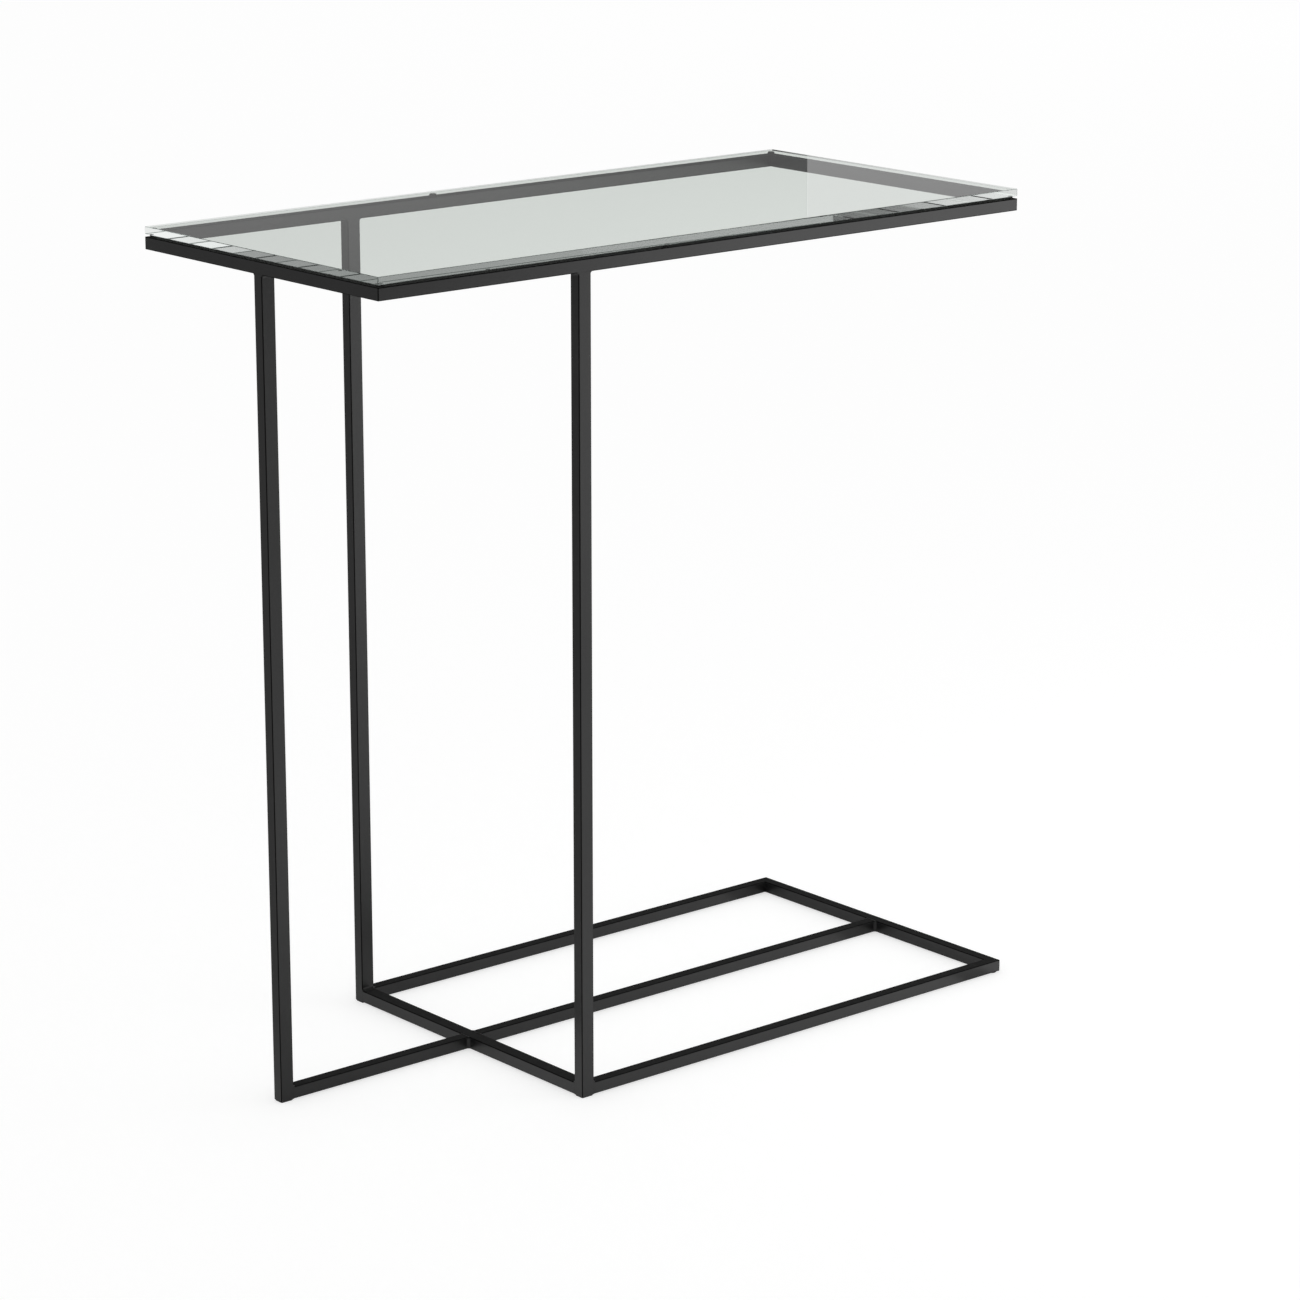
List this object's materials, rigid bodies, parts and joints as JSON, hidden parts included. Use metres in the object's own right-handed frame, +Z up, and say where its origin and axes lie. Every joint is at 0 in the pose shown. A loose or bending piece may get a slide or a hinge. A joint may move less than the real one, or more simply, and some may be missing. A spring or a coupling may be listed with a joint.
{
  "type": "side table",
  "caption": "C-shaped side table: a loose clear glass top on a thin black tube frame whose low base slides under a sofa.",
  "frame": {"origin": "middle of the table's outline at floor level", "axes": "+Z up, +X along the length from the legs towards the open end, +Y from the front towards the back"},
  "size_m": [0.65, 0.3, 0.675],
  "materials": {
    "frame_paint": "satin black powder coat",
    "plug_plastic": "matt black polyethylene",
    "pad_rubber": "matt dark rubber",
    "clear_glass": "clear, polished edges"
  },
  "bodies": {
    "frame": {"top_rail_front": "frame_paint", "top_rail_right": "frame_paint", "top_rail_back": "frame_paint", "top_rail_left": "frame_paint", "leg_left": "frame_paint", "leg_front": "frame_paint", "leg_back": "frame_paint", "base_cross_rail": "frame_paint", "base_rail_front": "frame_paint", "base_rail_back": "frame_paint", "base_rail_right": "frame_paint", "base_centre_rail_left": "frame_paint", "base_centre_rail_right": "frame_paint", "top_welds": "frame_paint", "foot_welds": "frame_paint", "base_welds": "frame_paint", "foot_plug_left": "plug_plastic", "foot_plug_front": "plug_plastic", "foot_plug_back": "plug_plastic", "floor_pad_front": "pad_rubber", "floor_pad_back": "pad_rubber", "glass_pad_front_left": "pad_rubber", "glass_pad_front_middle": "pad_rubber", "glass_pad_front_right": "pad_rubber", "glass_pad_back_left": "pad_rubber", "glass_pad_back_middle": "pad_rubber", "glass_pad_back_right": "pad_rubber"},
    "glass": {"glass_top": "clear_glass"}
  },
  "joints": [
    {"name": "glass_lift", "type": "slide", "parent": "frame", "child": "glass", "axis": [0, 0, 1], "range_m": [0, 0.1]}
  ]
}
